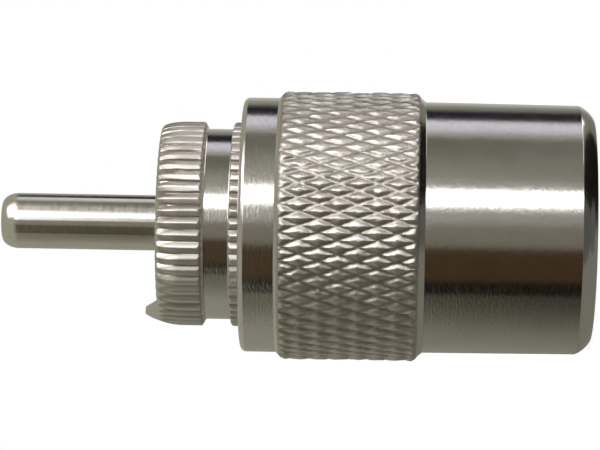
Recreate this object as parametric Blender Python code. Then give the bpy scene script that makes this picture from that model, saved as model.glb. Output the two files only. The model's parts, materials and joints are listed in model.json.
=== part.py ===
"""UHF coaxial cable plug with a pin, an insulator, a knurled body and a captive coupling nut.

The plug stands on its rear end with the pin up. Its axis is Z, and the origin is the centre
of the rear end. Sizes are in millimetres, and become metres where vertices are made.
"""

import math

import bmesh
import bpy
from mathutils import Vector

MM = 0.001

# Clearances between pieces
RUNNING_GAP = 0.15
STOP_GAP = 0.3
SEAT_GAP = 0.1

# Contact pin
PIN_DIAMETER = 3.96
PIN_BORE_DIAMETER = 2.0
PIN_REACH = 11.4
PIN_TIP_RIM_DIAMETER = 2.4
PIN_TIP_ROUND = 1.2
PIN_COLLAR_DIAMETER = 5.2
PIN_COLLAR_LENGTH = 1.3
PIN_TAIL = 2.6

# Insulator
INSULATOR_DIAMETER = 11.8
INSULATOR_LENGTH = 6.4
INSULATOR_RECESS = 1.1
INSULATOR_EDGE = 0.3

# Plug body
BODY_LENGTH = 30.6
NECK_DIAMETER = 12.0
NECK_COLLAR_DIAMETER = 13.0
NECK_COLLAR_LENGTH = 1.0
JACKET_BORE_DIAMETER = 10.5
JACKET_BORE_DEPTH = 7.0
BRAID_BORE_DIAMETER = 8.6
SOLDER_HOLE_DIAMETER = 2.5
SOLDER_HOLE_HEIGHT = 10.0
SOLDER_HOLES = 4
DRILL_OVERRUN = 1.0
BODY_EDGE = 0.2

# Head of the body, with two toothed lands and a groove between them
HEAD_LENGTH = 9.1
LAND_DIAMETER = 14.58
LAND_TEETH = 52
TOOTH_DEPTH = 0.25
FRONT_LAND_LENGTH = 3.0
REAR_LAND_CHAMFER = 0.5
GROOVE_FLARE = 0.3
GROOVE_LENGTH = 1.8
GROOVE_DIAMETER = 13.57
FACE_ROUND_LENGTH = 1.6
FACE_ROUND_DEPTH = 0.45
LUG_HEIGHT = 1.1
LUG_LEAN = 0.3
LUG_WIDTH = math.radians(60)
LUG_AZIMUTH = math.radians(190)

# Coupling nut
NUT_LENGTH = 24.8
NUT_TRAVEL = 15.5
BARREL_LENGTH = 11.95
BARREL_DIAMETER = 17.86
BARREL_REAR_DIAMETER = 17.7
NOSE_LENGTH = 1.05
NOSE_DEPTH = 0.93
NOSE_BULGE = 0.12
RING_DIAMETER = 18.13
RING_LENGTH = 2.5
RING_ROUND = 1.0
THREAD_DIAMETER = 15.9
THREAD_MINOR_DIAMETER = 14.9
MOUTH_CHAMFER = 0.4
WEB_BORE_DIAMETER = 13.3
THREAD_RELIEF_LENGTH = 3.0
NUT_EDGE = 0.2

# Diamond knurl of the nut
KNURL_DIAMETER = 19.15
KNURL_DEPTH = 0.28
KNURL_COLUMNS = 60
KNURL_HELIX = math.radians(20)
KNURL_FRONT_CHAMFER = 0.5
KNURL_REAR_CHAMFER = 0.6

# Retaining ring, which sits in a groove of the nut and runs along the body's neck
RETAINER_THICKNESS = 1.0
RETAINER_WIDTH = 0.85
RETAINER_SPLIT = math.radians(20)
RETAINER_STEPS = 40

# Facets
ROUND_STEPS = 5
RIM_STEPS = 3
PIN_FACETS = 32
INSULATOR_FACETS = 48
HOLE_FACETS = 20

# Heights that the pieces share
FACE_HEIGHT = BODY_LENGTH
SHOULDER_HEIGHT = BODY_LENGTH - HEAD_LENGTH
INSULATOR_FRONT = BODY_LENGTH - INSULATOR_RECESS
INSULATOR_REAR = INSULATOR_FRONT - INSULATOR_LENGTH
WEB_HEIGHT = SHOULDER_HEIGHT - NUT_TRAVEL - STOP_GAP
RETAINER_HEIGHT = NECK_COLLAR_LENGTH + STOP_GAP


def value_at(rule, number):
    """Return a rule's value for one vertex: the rule is a plain number or a function."""
    return rule(number) if callable(rule) else rule


def add_ring(bm, count, radius, height):
    """Add a closed ring of vertices; radius and height are numbers or functions of the vertex."""
    ring = []
    for number in range(count):
        angle = 2 * math.pi * number / count
        r = value_at(radius, number) * MM
        z = value_at(height, number) * MM
        ring.append(bm.verts.new((r * math.cos(angle), r * math.sin(angle), z)))
    return ring


def join_rings(bm, first, second, ridge=None):
    """Skin the strip between two rings. One may have twice as many vertices as the other.

    Where ridge is given, each square is split, and ridge says along which diagonal.
    """
    if len(first) == 2 * len(second):
        for number in range(len(second)):
            nearer = second[number]
            further = second[(number + 1) % len(second)]
            left, middle = first[2 * number], first[2 * number + 1]
            right = first[(2 * number + 2) % len(first)]
            bm.faces.new((left, middle, nearer))
            bm.faces.new((middle, further, nearer))
            bm.faces.new((middle, right, further))
        return
    if len(second) == 2 * len(first):
        join_rings(bm, second, first)
        return
    count = len(first)
    for number in range(count):
        after = (number + 1) % count
        a, b = first[number], first[after]
        c, d = second[after], second[number]
        if ridge is None:
            bm.faces.new((a, b, c, d))
        elif ridge(number):
            bm.faces.new((a, b, c))
            bm.faces.new((a, c, d))
        else:
            bm.faces.new((a, b, d))
            bm.faces.new((b, c, d))


def turn(bm, section):
    """Turn a closed section into a ring-shaped solid.

    The section is a list of stations (count, radius, height, ridge) that runs round it once.
    """
    rings = [add_ring(bm, count, radius, height) for count, radius, height, _ in section]
    for number, station in enumerate(section):
        join_rings(bm, rings[number], rings[(number + 1) % len(rings)], station[3])


def stations(count, points):
    """Return plain stations for a list of (radius, height) points."""
    return [(count, radius, height, None) for radius, height in points]


def quarter_round(centre, size, start, steps=ROUND_STEPS):
    """Return the points of a quarter ellipse about a centre (radius, height).

    size is (radial, axial), and start is the angle of its first point, in quarter turns
    from the outward radial direction.
    """
    points = []
    for step in range(steps + 1):
        angle = (start + step / steps) * math.pi / 2
        radius = centre[0] + size[0] * math.cos(angle)
        points.append((radius, centre[1] + size[1] * math.sin(angle)))
    return points


def bulged(start, end, bulge, steps=ROUND_STEPS):
    """Return the points of a shallow arc between two points (radius, height).

    The arc stands out from its chord by the bulge, to the side away from the axis for an
    arc that runs forward.
    """
    chord = Vector(end) - Vector(start)
    outward = Vector((chord.y, -chord.x)).normalized()
    points = []
    for step in range(steps + 1):
        share = step / steps
        point = Vector(start) + chord * share + outward * 4 * bulge * share * (1 - share)
        points.append(tuple(point))
    return points


def make_material(name, color, metallic, roughness):
    """Return a material with one Principled shader."""
    material = bpy.data.materials.new(name)
    material.use_nodes = True
    material.diffuse_color = (*color, 1.0)
    shader = material.node_tree.nodes["Principled BSDF"]
    shader.inputs["Base Color"].default_value = (*color, 1.0)
    shader.inputs["Metallic"].default_value = metallic
    shader.inputs["Roughness"].default_value = roughness
    return material


def make_object(name, bm, material, height=0.0, parent=None):
    """Turn a bmesh into a smooth-shaded object at a height on the plug's axis."""
    bmesh.ops.recalc_face_normals(bm, faces=bm.faces)
    mesh = bpy.data.meshes.new(name)
    bm.to_mesh(mesh)
    bm.free()
    mesh.shade_smooth()
    mesh.set_sharp_from_angle(angle=math.radians(28))
    mesh.materials.append(material)
    result = bpy.data.objects.new(name, mesh)
    result.location = (0.0, 0.0, height * MM)
    result.parent = parent
    bpy.context.collection.objects.link(result)
    return result


def tooth_radius(number):
    """Return a toothed land's radius: even vertices are crests, odd ones are valleys."""
    crest = LAND_DIAMETER / 2
    return crest if number % 2 == 0 else crest - TOOTH_DEPTH


def lug_rise(number):
    """Return how far the rim's lug stands up at a vertex, from 0 to 1."""
    azimuth = math.pi * number / LAND_TEETH
    offset = (azimuth - LUG_AZIMUTH + math.pi) % (2 * math.pi) - math.pi
    share = min(1.0, abs(offset) / (LUG_WIDTH / 2))
    return math.cos(share * math.pi / 2) ** 2


def rim_ring(radius, height, share, lean):
    """Return a station of the head's rim, raised by a share of the lug where that stands."""
    def lean_in(number):
        return value_at(radius, number) - lean * share * lug_rise(number)

    def rise(number):
        return height + LUG_HEIGHT * share * lug_rise(number)

    return (2 * LAND_TEETH, lean_in, rise, None)


def toothed_land(rear, front):
    """Return the two stations of a land whose teeth run along the axis."""
    count = 2 * LAND_TEETH
    return [(count, tooth_radius, rear, None), (count, tooth_radius, front, None)]


def rounded_rim():
    """Return the stations where the front land's teeth round over into the face.

    The first stays level, and the others climb the lug by an equal share each.
    """
    result = []
    for step in range(1, RIM_STEPS + 1):
        angle = step / RIM_STEPS * math.pi / 2
        depth = FACE_ROUND_DEPTH * (1 - math.cos(angle))
        height = FACE_HEIGHT - FACE_ROUND_LENGTH * (1 - math.sin(angle))
        shallow = 1 - step / RIM_STEPS

        def radius(number, depth=depth, shallow=shallow):
            crest = LAND_DIAMETER / 2
            tooth = (crest - tooth_radius(number)) * shallow
            return crest - depth - tooth

        result.append(rim_ring(radius, height, (step - 1) / (RIM_STEPS - 1), LUG_LEAN))
    return result


def body_outside():
    """Return the outside of the body, from the cable end to the face."""
    count = 2 * LAND_TEETH
    neck = NECK_DIAMETER / 2
    collar = NECK_COLLAR_DIAMETER / 2
    groove = GROOVE_DIAMETER / 2
    land_root = LAND_DIAMETER / 2 - TOOTH_DEPTH
    front_land = FACE_HEIGHT - FRONT_LAND_LENGTH
    groove_front = front_land - GROOVE_FLARE
    groove_rear = groove_front - GROOVE_LENGTH
    section = stations(count, [
        (collar - BODY_EDGE, 0.0),
        (collar, BODY_EDGE),
        (collar, NECK_COLLAR_LENGTH),
        (neck, NECK_COLLAR_LENGTH),
        (neck, SHOULDER_HEIGHT),
        (land_root, SHOULDER_HEIGHT),
    ])
    section += toothed_land(SHOULDER_HEIGHT + BODY_EDGE, groove_rear - REAR_LAND_CHAMFER)
    section += stations(count, [(groove, groove_rear), (groove, groove_front)])
    section += toothed_land(front_land, FACE_HEIGHT - FACE_ROUND_LENGTH)
    return section + rounded_rim()


def body_inside():
    """Return the inside of the body, from the face back to the cable end."""
    count = LAND_TEETH
    pocket = INSULATOR_DIAMETER / 2 + SEAT_GAP
    pocket_floor = INSULATOR_REAR - SEAT_GAP
    braid = BRAID_BORE_DIAMETER / 2
    jacket = JACKET_BORE_DIAMETER / 2
    section = [rim_ring(pocket, FACE_HEIGHT, 1.0, 0.0)]
    return section + stations(count, [
        (pocket, INSULATOR_FRONT),
        (pocket, pocket_floor),
        (braid, pocket_floor),
        (braid, JACKET_BORE_DEPTH),
        (jacket, JACKET_BORE_DEPTH),
        (jacket, BODY_EDGE),
        (jacket + BODY_EDGE, 0.0),
    ])


def make_hole_cutter():
    """Return a hidden cutter for the ring of solder holes in the neck."""
    bm = bmesh.new()
    inner = BRAID_BORE_DIAMETER / 2 - DRILL_OVERRUN
    outer = NECK_DIAMETER / 2 + DRILL_OVERRUN
    radius = SOLDER_HOLE_DIAMETER / 2
    for hole in range(SOLDER_HOLES):
        azimuth = 2 * math.pi * (hole + 0.5) / SOLDER_HOLES
        ends = []
        for reach in (inner, outer):
            end = []
            for facet in range(HOLE_FACETS):
                angle = 2 * math.pi * facet / HOLE_FACETS
                across = radius * math.cos(angle)
                x = reach * math.cos(azimuth) - across * math.sin(azimuth)
                y = reach * math.sin(azimuth) + across * math.cos(azimuth)
                z = SOLDER_HOLE_HEIGHT + radius * math.sin(angle)
                end.append(bm.verts.new((x * MM, y * MM, z * MM)))
            ends.append(end)
        join_rings(bm, ends[0], ends[1])
        bm.faces.new(ends[0])
        bm.faces.new(ends[1])
    material = make_material("cutter_grey", (0.5, 0.5, 0.5), 0.0, 0.5)
    cutter = make_object("solder_hole_cutter", bm, material)
    cutter.hide_render = True
    cutter.display_type = "WIRE"
    return cutter


def make_body(parent):
    """Make the turned body with its toothed head, lug, stepped bore and solder holes."""
    bm = bmesh.new()
    turn(bm, body_outside() + body_inside())
    nickel = make_material("nickel_body", (0.74, 0.72, 0.69), 1.0, 0.24)
    body = make_object("plug_body", bm, nickel, parent=parent)
    cut = body.modifiers.new("solder_holes", "BOOLEAN")
    cut.operation = "DIFFERENCE"
    cut.solver = "EXACT"
    cut.object = make_hole_cutter()
    return body


def make_insulator(parent):
    """Make the insulator, a disc with a stepped bore for the contact pin."""
    bore = PIN_DIAMETER / 2 + SEAT_GAP
    counterbore = PIN_COLLAR_DIAMETER / 2 + SEAT_GAP
    counterbore_depth = INSULATOR_LENGTH / 2
    outer = INSULATOR_DIAMETER / 2
    bm = bmesh.new()
    turn(bm, stations(INSULATOR_FACETS, [
        (outer, 0.0),
        (outer, INSULATOR_LENGTH - INSULATOR_EDGE),
        (outer - INSULATOR_EDGE, INSULATOR_LENGTH),
        (bore, INSULATOR_LENGTH),
        (bore, counterbore_depth),
        (counterbore, counterbore_depth),
        (counterbore, 0.0),
    ]))
    plastic = make_material("insulator_plastic", (0.86, 0.85, 0.82), 0.0, 0.45)
    return make_object("insulator", bm, plastic, INSULATOR_REAR, parent)


def make_contact(parent):
    """Make the hollow contact pin, whose collar seats in the insulator's counterbore."""
    pin = PIN_DIAMETER / 2
    bore = PIN_BORE_DIAMETER / 2
    rim = PIN_TIP_RIM_DIAMETER / 2
    collar = PIN_COLLAR_DIAMETER / 2
    collar_front = INSULATOR_REAR + INSULATOR_LENGTH / 2 - SEAT_GAP - FACE_HEIGHT
    collar_rear = collar_front - PIN_COLLAR_LENGTH
    tail = collar_rear - PIN_TAIL
    tip = quarter_round((rim, PIN_REACH - PIN_TIP_ROUND), (pin - rim, PIN_TIP_ROUND), 0)
    bm = bmesh.new()
    turn(bm, stations(PIN_FACETS, [
        (pin, tail),
        (pin, collar_rear),
        (collar, collar_rear),
        (collar, collar_front),
        (pin, collar_front),
        *tip,
        (bore, PIN_REACH),
        (bore, tail),
    ]))
    nickel = make_material("nickel_pin", (0.80, 0.78, 0.75), 1.0, 0.16)
    return make_object("center_contact", bm, nickel, FACE_HEIGHT, parent)


def make_retaining_ring(parent):
    """Make the split ring that holds the nut on the body's neck."""
    inner = NECK_DIAMETER / 2 + RUNNING_GAP
    outer = inner + RETAINER_WIDTH
    top = RETAINER_THICKNESS
    corners = [(inner, 0.0), (outer, 0.0), (outer, top), (inner, top)]
    bm = bmesh.new()
    frames = []
    for step in range(RETAINER_STEPS + 1):
        angle = RETAINER_SPLIT / 2 + (2 * math.pi - RETAINER_SPLIT) * step / RETAINER_STEPS
        frame = []
        for radius, z in corners:
            x = radius * math.cos(angle)
            y = radius * math.sin(angle)
            frame.append(bm.verts.new((x * MM, y * MM, z * MM)))
        frames.append(frame)
    for first, second in zip(frames, frames[1:]):
        join_rings(bm, first, second)
    bm.faces.new(frames[0])
    bm.faces.new(frames[-1])
    steel = make_material("spring_steel", (0.56, 0.57, 0.58), 1.0, 0.32)
    return make_object("retaining_ring", bm, steel, RETAINER_HEIGHT, parent)


def knurl_rows():
    """Return the stations of the diamond knurl, from its rear chamfer to its front one.

    Two sets of helical grooves cross at every other vertex of a row, half a pitch further
    round in the next row. The vertices between them are the tips of the diamonds.
    """
    tip = KNURL_DIAMETER / 2
    root = tip - KNURL_DEPTH
    rear = BARREL_LENGTH
    front = NUT_LENGTH - RING_LENGTH
    first = rear + 0.75 * KNURL_REAR_CHAMFER
    last = front - 0.75 * KNURL_FRONT_CHAMFER
    pitch = math.pi * KNURL_DIAMETER / KNURL_COLUMNS
    wanted = pitch / 2 / math.tan(KNURL_HELIX)
    rows = max(2, round((last - first) / wanted))
    barrel = BARREL_DIAMETER / 2
    ring = RING_DIAMETER / 2
    clipped = {
        0: barrel + 0.75 * (tip - barrel),
        rows: ring + 0.75 * (tip - ring),
    }
    result = []
    for row in range(rows + 1):
        height = first + (last - first) * row / rows
        top = clipped.get(row, tip)

        def radius(number, row=row, top=top):
            return max(top, root) if (number + row) % 2 else root

        def ridge(number, row=row):
            return (number + row) % 2 == 0

        result.append((2 * KNURL_COLUMNS, radius, height, ridge if row < rows else None))
    return result


def nut_outside():
    """Return the outside of the nut, from its rear face to its front face."""
    count = 2 * KNURL_COLUMNS
    rear = BARREL_REAR_DIAMETER / 2
    ring = RING_DIAMETER / 2
    nose = bulged((rear - NOSE_DEPTH, 0.0), (rear, NOSE_LENGTH), NOSE_BULGE)
    front_corner = quarter_round(
        (ring - RING_ROUND, NUT_LENGTH - RING_ROUND), (RING_ROUND, RING_ROUND), 0)
    section = stations(count, nose + [(BARREL_DIAMETER / 2, BARREL_LENGTH)])
    section += knurl_rows()
    section += stations(count, [(ring, NUT_LENGTH - RING_LENGTH)] + front_corner)
    return section


def nut_inside():
    """Return the inside of the nut, from its mouth back to its rear face."""
    count = KNURL_COLUMNS
    minor = THREAD_MINOR_DIAMETER / 2
    relief = THREAD_DIAMETER / 2
    web = WEB_BORE_DIAMETER / 2
    groove = NECK_DIAMETER / 2 + RETAINER_WIDTH + 2 * RUNNING_GAP
    groove_rear = RETAINER_HEIGHT - RUNNING_GAP
    groove_front = RETAINER_HEIGHT + RETAINER_THICKNESS + RUNNING_GAP
    thread_end = WEB_HEIGHT + THREAD_RELIEF_LENGTH
    return stations(count, [
        (minor + MOUTH_CHAMFER, NUT_LENGTH),
        (minor, NUT_LENGTH - MOUTH_CHAMFER),
        (minor, thread_end),
        (relief, thread_end),
        (relief, WEB_HEIGHT),
        (web, WEB_HEIGHT),
        (web, groove_front),
        (groove, groove_front),
        (groove, groove_rear),
        (web, groove_rear),
        (web, NUT_EDGE),
        (web + NUT_EDGE, 0.0),
    ])


def make_nut(parent):
    """Make the coupling nut with its barrel, diamond knurl, front ring and stepped bore."""
    bm = bmesh.new()
    turn(bm, nut_outside() + nut_inside())
    nickel = make_material("nickel_nut", (0.73, 0.72, 0.69), 1.0, 0.22)
    return make_object("coupling_nut", bm, nickel, parent=parent)


def clear_scene():
    """Remove every object of the scene that the file starts with."""
    for item in list(bpy.data.objects):
        bpy.data.objects.remove(item, do_unlink=True)


def main():
    """Build the plug."""
    clear_scene()
    axis = bpy.data.objects.new("plug_axis", None)
    bpy.context.collection.objects.link(axis)
    make_body(axis)
    make_insulator(axis)
    make_contact(axis)
    make_retaining_ring(axis)
    make_nut(axis)


main()
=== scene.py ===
"""Looks of a UHF cable plug: finely cut metal pieces, plated finishes, a light tent and a camera.

The plug stands on its rear end with the pin up, and its axis is Z. Sizes in the classes are in
millimetres, and become metres where meshes, trees and the camera are made.
"""

from __future__ import annotations

import json
import logging
import math
from dataclasses import dataclass
from enum import Enum
from typing import Callable, Optional, Sequence, Union

import bpy
from bpy.types import ID, Material, Mesh, NodeSocket, NodeTree, Object
from mathutils import Matrix, Vector

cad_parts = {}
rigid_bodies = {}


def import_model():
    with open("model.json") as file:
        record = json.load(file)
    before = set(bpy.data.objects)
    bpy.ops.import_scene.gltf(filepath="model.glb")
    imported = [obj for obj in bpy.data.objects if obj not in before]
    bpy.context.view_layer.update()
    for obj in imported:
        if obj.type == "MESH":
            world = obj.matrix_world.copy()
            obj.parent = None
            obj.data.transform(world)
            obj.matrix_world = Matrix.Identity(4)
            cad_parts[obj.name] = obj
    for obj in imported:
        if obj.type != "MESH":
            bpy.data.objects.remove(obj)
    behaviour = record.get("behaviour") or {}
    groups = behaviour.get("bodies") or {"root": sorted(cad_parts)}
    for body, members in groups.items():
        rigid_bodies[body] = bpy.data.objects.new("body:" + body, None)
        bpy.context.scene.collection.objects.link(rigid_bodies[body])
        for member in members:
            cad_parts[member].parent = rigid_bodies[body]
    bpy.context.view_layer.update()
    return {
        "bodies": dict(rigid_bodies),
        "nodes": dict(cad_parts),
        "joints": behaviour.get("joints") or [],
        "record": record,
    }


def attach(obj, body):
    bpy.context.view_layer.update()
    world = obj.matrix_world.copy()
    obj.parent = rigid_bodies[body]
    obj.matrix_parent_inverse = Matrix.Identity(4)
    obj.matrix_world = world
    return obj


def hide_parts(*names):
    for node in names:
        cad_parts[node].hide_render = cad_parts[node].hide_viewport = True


Number = Union[float, "Sock"]
Colour = tuple[float, float, float]
Rule = Union[float, Callable[[float], float]]
Point = tuple[float, float]
Face = tuple[int, ...]
Split = Callable[[int], bool]

LOG = logging.getLogger("plug")
TURN = 2 * math.pi
QUARTER = math.pi / 2
MM = 0.001
SUPPORT = 0.04  # from a rounding to the ring that keeps the flat beside it flat
EDGE = 0.1  # rounding of a plain edge
FINE_EDGE = 0.08  # rounding of a crisp edge
SIDES = 128  # vertices around a piece without teeth
NOISE_MEAN = 0.5
WHITE = (1.0, 1.0, 1.0, 1.0)


class Body(Enum):
    """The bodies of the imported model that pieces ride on."""

    PLUG = "plug"
    NUT = "nut"


class Slot(Enum):
    """The record's material slots, one named for each piece."""

    NUT = "nickel_nut"
    BODY = "nickel_body"
    PIN = "nickel_pin"
    INSULATOR = "insulator_plastic"


class Sock:
    """A value in a node tree, which takes part in Python arithmetic by adding Math nodes."""

    def __init__(self, graph: "Graph", socket: Optional[NodeSocket]) -> None:
        """Wrap an output socket of a graph's node, or nothing for a node that ends the tree."""
        self.graph = graph
        self.socket = socket

    def math(self, operation: str, *others: Number) -> "Sock":
        """Return this value put through a Math node, with the operation's other values."""
        return self.graph.node("ShaderNodeMath", {"operation": operation}, (self, *others))

    def __add__(self, other: Number) -> "Sock":
        """Return the sum."""
        return self.math("ADD", other)

    def __sub__(self, other: Number) -> "Sock":
        """Return the difference."""
        return self.math("SUBTRACT", other)

    def __rsub__(self, other: Number) -> "Sock":
        """Return a number less this value."""
        return self.graph.node("ShaderNodeMath", {"operation": "SUBTRACT"}, (other, self))

    def __mul__(self, other: Number) -> "Sock":
        """Return the product."""
        return self.math("MULTIPLY", other)

    def __truediv__(self, other: Number) -> "Sock":
        """Return the quotient."""
        return self.math("DIVIDE", other)

    def __neg__(self) -> "Sock":
        """Return this value with its sign turned."""
        return self.math("MULTIPLY", -1.0)

    def __abs__(self) -> "Sock":
        """Return the size of this value."""
        return self.math("ABSOLUTE")

    def at_least(self, other: Number) -> "Sock":
        """Return the larger of two values."""
        return self.math("MAXIMUM", other)

    def at_most(self, other: Number) -> "Sock":
        """Return the smaller of two values."""
        return self.math("MINIMUM", other)

    def clamp(self) -> "Sock":
        """Return this value kept between 0 and 1."""
        return self.at_most(1.0).at_least(0.0)

    def off_nearest(self) -> "Sock":
        """Return how far this value is from the nearest whole number, from 0 to 1 halfway."""
        return abs(self - self.math("ROUND")) * 2.0

    def step(self, start: Number, end: Number) -> "Sock":
        """Return a smooth step that is 0 at start and 1 at end, which may be below start."""
        inputs = {"Value": self, "From Min": start, "From Max": end}
        return self.graph.node("ShaderNodeMapRange", {"interpolation_type": "SMOOTHSTEP"}, inputs)


class Graph:
    """Adds nodes to one tree, for a material, a world or a modifier."""

    def __init__(self, tree: NodeTree) -> None:
        """Start with a tree."""
        self.tree = tree

    def node(
        self,
        kind: str,
        settings: Optional[dict] = None,
        inputs: Union[dict, Sequence, None] = None,
        output: Union[int, str] = 0,
    ) -> Sock:
        """Add a node of any kind.

        Args:
            kind: The node's type.
            settings: The node's own properties, which are set before its sockets.
            inputs: Values or links of its sockets, in order or by name or number.
            output: Which output to return.

        Returns:
            The chosen output.
        """
        made = self.tree.nodes.new(kind)
        for name, value in (settings or {}).items():
            setattr(made, name, value)
        pairs = inputs.items() if isinstance(inputs, dict) else enumerate(inputs or ())
        for key, value in pairs:
            if isinstance(value, Sock):
                self.tree.links.new(value.socket, made.inputs[key])
            else:
                made.inputs[key].default_value = value
        return Sock(self, made.outputs[output] if made.outputs else None)

    def locate(self, place: Sock) -> None:
        """Keep a place with its three parts and its distance from the axis.

        Args:
            place: The place, a vector.
        """
        self.place = place
        parts = self.node("ShaderNodeSeparateXYZ", inputs=(place,)).socket.node.outputs
        self.x, self.y, self.z = (Sock(self, part) for part in parts)
        self.radius = (self.x * self.x + self.y * self.y).math("SQRT")

    def vector(self, x: Number, y: Number, z: Number) -> Sock:
        """Return a vector made of three values."""
        return self.node("ShaderNodeCombineXYZ", inputs=(x, y, z))

    def grown(self, vector: Union[Colour, Sock], amount: Sock) -> Sock:
        """Return a vector or a colour multiplied by a value."""
        inputs = {"Vector": vector, "Scale": amount}
        return self.node("ShaderNodeVectorMath", {"operation": "SCALE"}, inputs)

    def colours(self, factor: Number, first: Union[Colour, Sock], second: Union[Colour, Sock]) -> Sock:
        """Return the first colour where the factor is 0 and the second where it is 1."""
        pair = [(*c, 1.0) if isinstance(c, tuple) else c for c in (first, second)]
        return self.node("ShaderNodeMix", {"data_type": "RGBA"}, {0: factor, 6: pair[0], 7: pair[1]}, 2)

    def seen(self) -> Sock:
        """Return 1 for the rays that show a thing itself and 0 for those that only light it."""
        rays = self.node("ShaderNodeLightPath").socket.node.outputs
        camera, glossy, through = (
            Sock(self, rays[f"Is {kind} Ray"]) for kind in ("Camera", "Glossy", "Transmission"))
        return camera.at_least(glossy).at_least(through)

    def noise(self, place: Sock, detail: float) -> Sock:
        """Return noise from 0 to 1, with finer layers and one bump for each unit of the place."""
        inputs = {"Vector": place, "Scale": 1.0, "Detail": detail}
        return self.node("ShaderNodeTexNoise", inputs=inputs)


class GeometryTree(Graph):
    """A Geometry Nodes tree with named inputs, run on a mesh to give a plain mesh."""

    def __init__(self, name: str, inputs: dict[str, Union[int, float]]) -> None:
        """Make the tree and its sockets, and locate the mesh's vertices.

        Args:
            name: The tree's name.
            inputs: The named sizes with their values: whole numbers make integer sockets.
        """
        super().__init__(bpy.data.node_groups.new(name, "GeometryNodeTree"))
        face = self.tree.interface
        face.new_socket("Geometry", in_out="INPUT", socket_type="NodeSocketGeometry")
        for label, value in inputs.items():
            kind = "NodeSocketInt" if isinstance(value, int) else "NodeSocketFloat"
            face.new_socket(label, in_out="INPUT", socket_type=kind)
        face.new_socket("Material", in_out="INPUT", socket_type="NodeSocketMaterial")
        face.new_socket("Geometry", in_out="OUTPUT", socket_type="NodeSocketGeometry")
        self.values = inputs
        self.entry = self.tree.nodes.new("NodeGroupInput")
        self.exit = self.tree.nodes.new("NodeGroupOutput")
        self.locate(self.node("GeometryNodeInputPosition"))
        self.angle = self.y.math("ARCTAN2", self.x)

    def given(self, label: str) -> Sock:
        """Return one of the named inputs."""
        return Sock(self, self.entry.outputs[label])

    def luck(self, number: Sock) -> Sock:
        """Return a random value from 0 to 1 for a whole number, which the seed decides."""
        inputs = {"ID": number, "Seed": self.given("Seed")}
        return self.node("FunctionNodeRandomValue", {"data_type": "FLOAT"}, inputs, 1)

    def move(self, x: Number, y: Number, z: Number) -> "GeometryTree":
        """End the tree with the mesh's vertices at new places, and return it."""
        inputs = {"Geometry": self.given("Geometry"), "Position": self.vector(x, y, z)}
        return self.close(self.node("GeometryNodeSetPosition", inputs=inputs))

    def close(self, geometry: Sock) -> "GeometryTree":
        """End the tree in Realize Instances and Set Material.

        Args:
            geometry: What the tree has made.

        Returns:
            The tree.
        """
        whole = self.node("GeometryNodeRealizeInstances", inputs=(geometry,))
        inputs = {"Geometry": whole, "Material": self.given("Material")}
        dressed = self.node("GeometryNodeSetMaterial", inputs=inputs)
        self.tree.links.new(dressed.socket, self.exit.inputs[0])
        return self

    def run(self, mesh: Mesh, material: Material) -> Mesh:
        """Run the tree on a mesh.

        Args:
            mesh: The mesh to start from, which is used up.
            material: The material that the tree sets.

        Returns:
            A new plain mesh.
        """
        holder = show("holder", mesh)
        modifier = holder.modifiers.new(self.tree.name, "NODES")
        modifier.node_group = self.tree
        values = {**self.values, "Material": material}
        for item in self.tree.interface.items_tree:
            if item.in_out == "INPUT" and item.name in values:
                modifier[item.identifier] = values[item.name]
        evaluated = holder.evaluated_get(bpy.context.evaluated_depsgraph_get())
        result = bpy.data.meshes.new_from_object(evaluated)
        bpy.data.objects.remove(holder)
        bpy.data.meshes.remove(mesh)
        return result


@dataclass(frozen=True)
class Corner:
    """A corner of a turned section.

    Attributes:
        radius: Distance from the axis.
        height: Height above the rear end.
        broken: Radius that the corner is rounded to.
        steps: Straight pieces in that rounding.
    """

    radius: float
    height: float
    broken: float = 0.0
    steps: int = 3

    @property
    def place(self) -> Vector:
        """Return the corner as a vector."""
        return Vector((self.radius, self.height))


def rounded(corners: Sequence[Corner]) -> list[Point]:
    """Round the corners of an open chain, with a point on each side that keeps the flats flat.

    Args:
        corners: The chain. Its first and last corners stay sharp.

    Returns:
        The points (radius, height) of the rounded chain.
    """
    points: list[Point] = []
    last = len(corners) - 1
    for number, corner in enumerate(corners):
        here = corner.place
        if corner.broken <= 0.0 or number in (0, last):
            points.append(tuple(here))
            continue
        back = corners[number - 1].place - here
        ahead = corners[number + 1].place - here
        half = back.angle(ahead) / 2
        reach = min(corner.broken / math.tan(half), back.length / 2, ahead.length / 2)
        swing = math.pi - 2 * half
        bisector = (back.normalized() + ahead.normalized()).normalized()
        centre = here + bisector * (reach / math.cos(half))
        start = here + back.normalized() * reach - centre
        side = 1.0 if back.cross(ahead) < 0 else -1.0
        if reach + SUPPORT < back.length / 2:
            points.append(tuple(here + back.normalized() * (reach + SUPPORT)))
        for step in range(corner.steps + 1):
            turned = Matrix.Rotation(side * swing * step / corner.steps, 2) @ start
            points.append((centre.x + turned.x, centre.y + turned.y))
        if reach + SUPPORT < ahead.length / 2:
            points.append(tuple(here + ahead.normalized() * (reach + SUPPORT)))
    return points


def quarter(radius: float, height: float, inward: float, up: float, steps: int) -> list[Point]:
    """Make a quarter of an ellipse, which starts upright and ends level.

    Args:
        radius: Radius where it starts.
        height: Height where it starts.
        inward: How far it goes towards the axis.
        up: How far it goes up.
        steps: How many straight pieces it has.

    Returns:
        The points (radius, height) of the curve.
    """
    angles = [QUARTER * step / steps for step in range(steps + 1)]
    return [(radius - inward * (1 - math.cos(a)), height + up * math.sin(a)) for a in angles]


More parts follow.
